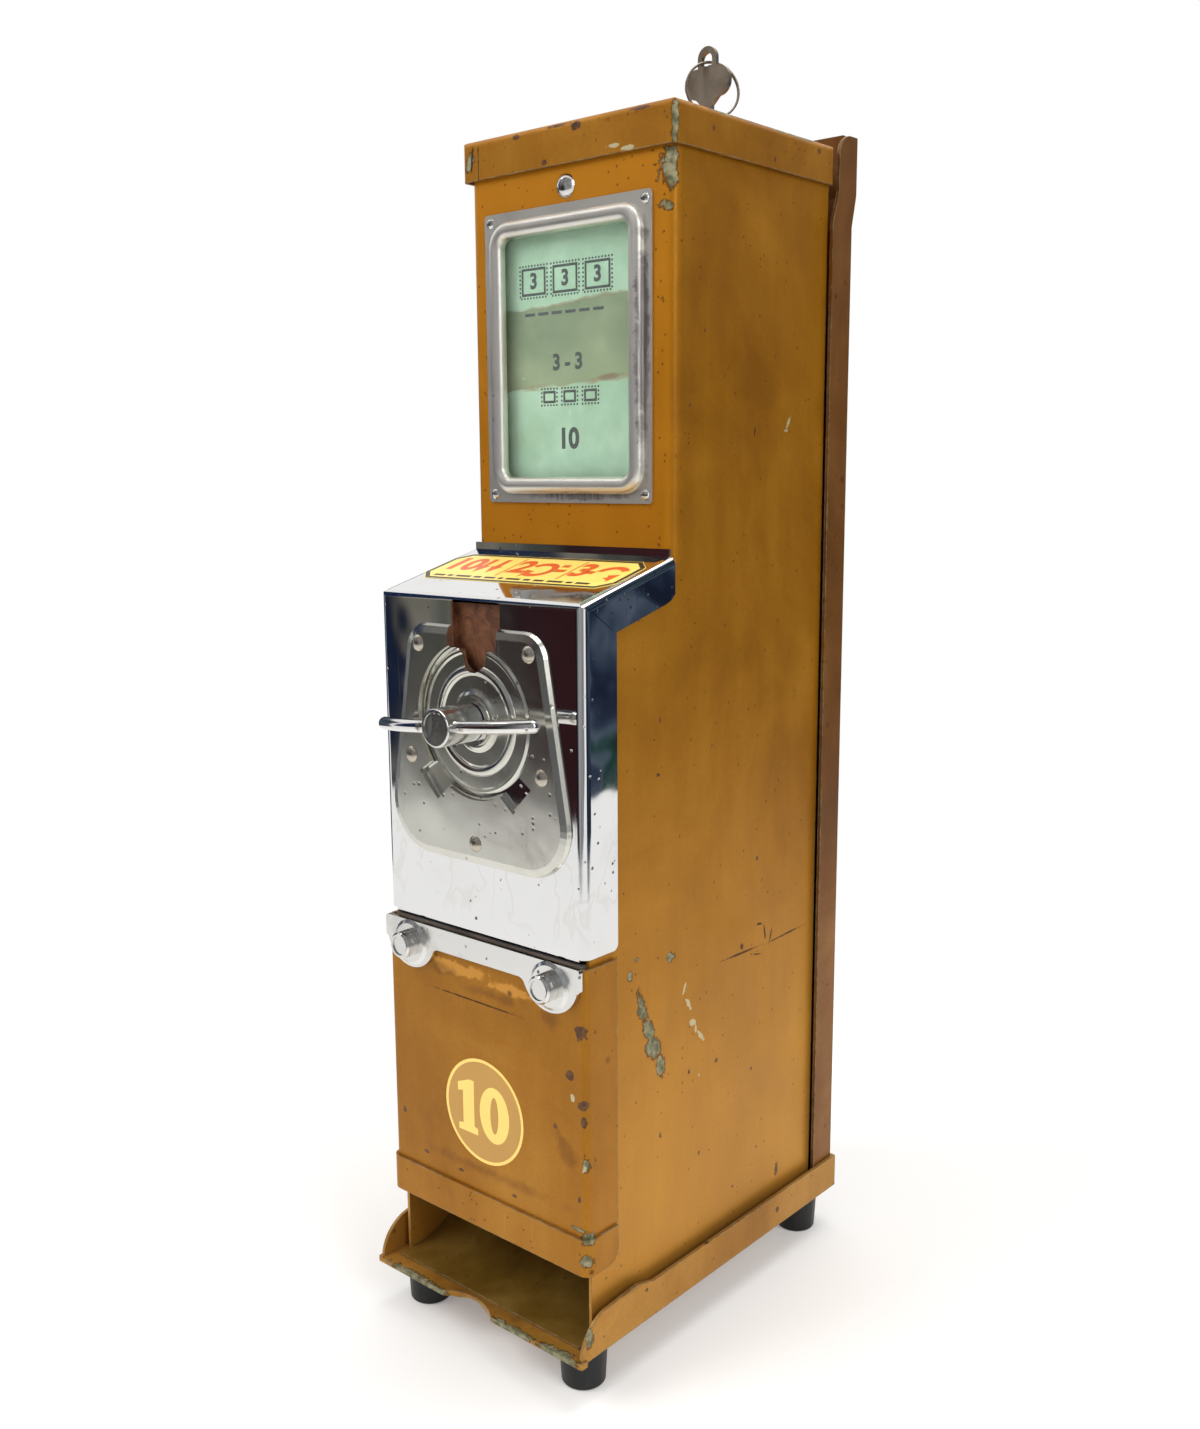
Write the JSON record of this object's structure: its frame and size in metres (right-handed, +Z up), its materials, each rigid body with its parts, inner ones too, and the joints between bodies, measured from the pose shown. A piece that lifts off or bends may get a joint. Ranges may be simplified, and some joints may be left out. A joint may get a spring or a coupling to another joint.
{
  "type": "stamp vending machine",
  "caption": "Narrow painted steel counter vending machine with chrome coin mechanism cover, T handle, window, locked lift-off lid and open delivery mouth on a footed pan.",
  "frame": {"origin": "middle of the overall box at floor level, under the rubber feet", "axes": "+X to the right seen from the front, +Y to the back, +Z up; the window, slot and handle face -Y"},
  "size_m": [0.0984, 0.1644, 0.4313],
  "materials": {
    "ochre_paint": "worn semi-gloss enamel, chipped to primer and steel at the edges",
    "brown_paint": "worn dull enamel",
    "chrome_plate": "polished plating with fine scratches and pits",
    "worn_nickel": "dull worn nickel plating",
    "zinc_steel": "bright zinc plated sheet",
    "turned_brass": "machined",
    "black_rubber": "matte",
    "clear_glass": "clear",
    "mint_card": "matte printed card",
    "rusty_plate": "rusted brown steel",
    "dark_casting": "rough casting"
  },
  "bodies": {
    "cabinet": {"body_shell": "ochre_paint", "base_pan": "ochre_paint", "rubber_feet": "black_rubber", "foot_screws": "zinc_steel", "floor_screws": "zinc_steel", "back_channel": "brown_paint", "channel_spacers": "zinc_steel", "channel_screws": "zinc_steel", "window_frame": "worn_nickel", "frame_screws": "worn_nickel", "window_glass": "clear_glass", "window_card": "mint_card", "card_retainer": "zinc_steel", "dome_screw": "worn_nickel", "lid_guide": "zinc_steel", "lock_striker": "zinc_steel", "mechanism_cover": "chrome_plate", "shield_plate": "chrome_plate", "shield_rivets": "chrome_plate", "dial_ring": "chrome_plate", "front_bush": "worn_nickel", "coin_track": "rusty_plate", "mechanism_plate": "zinc_steel", "plate_posts": "zinc_steel", "rear_bush": "turned_brass", "spring_drum": "zinc_steel", "guide_studs": "zinc_steel", "bell_stud": "zinc_steel", "coin_chute": "zinc_steel", "coin_box": "zinc_steel", "box_runners": "zinc_steel", "lower_cover": "ochre_paint", "cover_band": "ochre_paint", "retainer_bar": "chrome_plate", "retainer_nuts": "worn_nickel", "cover_studs": "worn_nickel", "stud_bracket": "zinc_steel", "delivery_chute": "ochre_paint", "stock_shelf": "zinc_steel", "column_guides": "zinc_steel"},
    "lid": {"top_lid": "ochre_paint", "lock_body": "worn_nickel", "lock_nut": "zinc_steel"},
    "lock_key": {"lock_plug": "turned_brass", "lock_cam": "zinc_steel", "door_key": "worn_nickel"},
    "ring": {"key_ring": "worn_nickel"},
    "handle": {"handle_barrel": "chrome_plate", "handle_bar": "chrome_plate", "handle_shaft": "zinc_steel", "coin_wheel": "turned_brass", "crank_arm": "zinc_steel"},
    "yoke": {"yoke_slide": "zinc_steel"},
    "bell": {"bell_crank": "zinc_steel"},
    "pusher_plate": {"pusher": "zinc_steel"},
    "follower": {"follower_weight": "dark_casting"}
  },
  "joints": [
    {"name": "handle_turn", "type": "hinge", "parent": "cabinet", "child": "handle", "pos_m": [0, -0.06375, 0.2185], "axis": [0, 1, 0], "range_deg": [0, 100], "stiffness_Nm_per_rad": 0.05, "springref_deg": -28.65},
    {"name": "yoke_lift", "type": "slide", "parent": "cabinet", "child": "yoke", "axis": [0, 0, 1], "range_m": [0, 0.02453]},
    {"name": "bell_swing", "type": "hinge", "parent": "cabinet", "child": "bell", "pos_m": [-0.038, -0.00975, 0.216], "axis": [-1, 0, 0], "range_deg": [0, 54.02]},
    {"name": "pusher_slide", "type": "slide", "parent": "cabinet", "child": "pusher_plate", "axis": [0, -1, 0], "range_m": [0, 0.04893]},
    {"name": "follower_lift", "type": "slide", "parent": "cabinet", "child": "follower", "axis": [0, 0, 1], "range_m": [0, 0.19]},
    {"name": "lid_lift", "type": "slide", "parent": "cabinet", "child": "lid", "axis": [0, 0, 1], "range_m": [0, 0.06]},
    {"name": "key_turn", "type": "hinge", "parent": "lid", "child": "lock_key", "pos_m": [0.03, 0.01695, 0.396], "axis": [0, 0, 1], "range_deg": [0, 90]},
    {"name": "ring_swing", "type": "hinge", "parent": "lock_key", "child": "ring", "pos_m": [0.03, 0.01695, 0.4267], "axis": [-0.5183, -0.848, -0.1102], "range_deg": [0, 25]}
  ],
  "couplings": [
    {"joint": "yoke_lift", "follows": "handle_turn", "m_per_rad": 0.014045},
    {"joint": "bell_swing", "follows": "handle_turn", "ratio": 0.54},
    {"joint": "pusher_slide", "follows": "handle_turn", "m_per_rad": 0.028026}
  ]
}
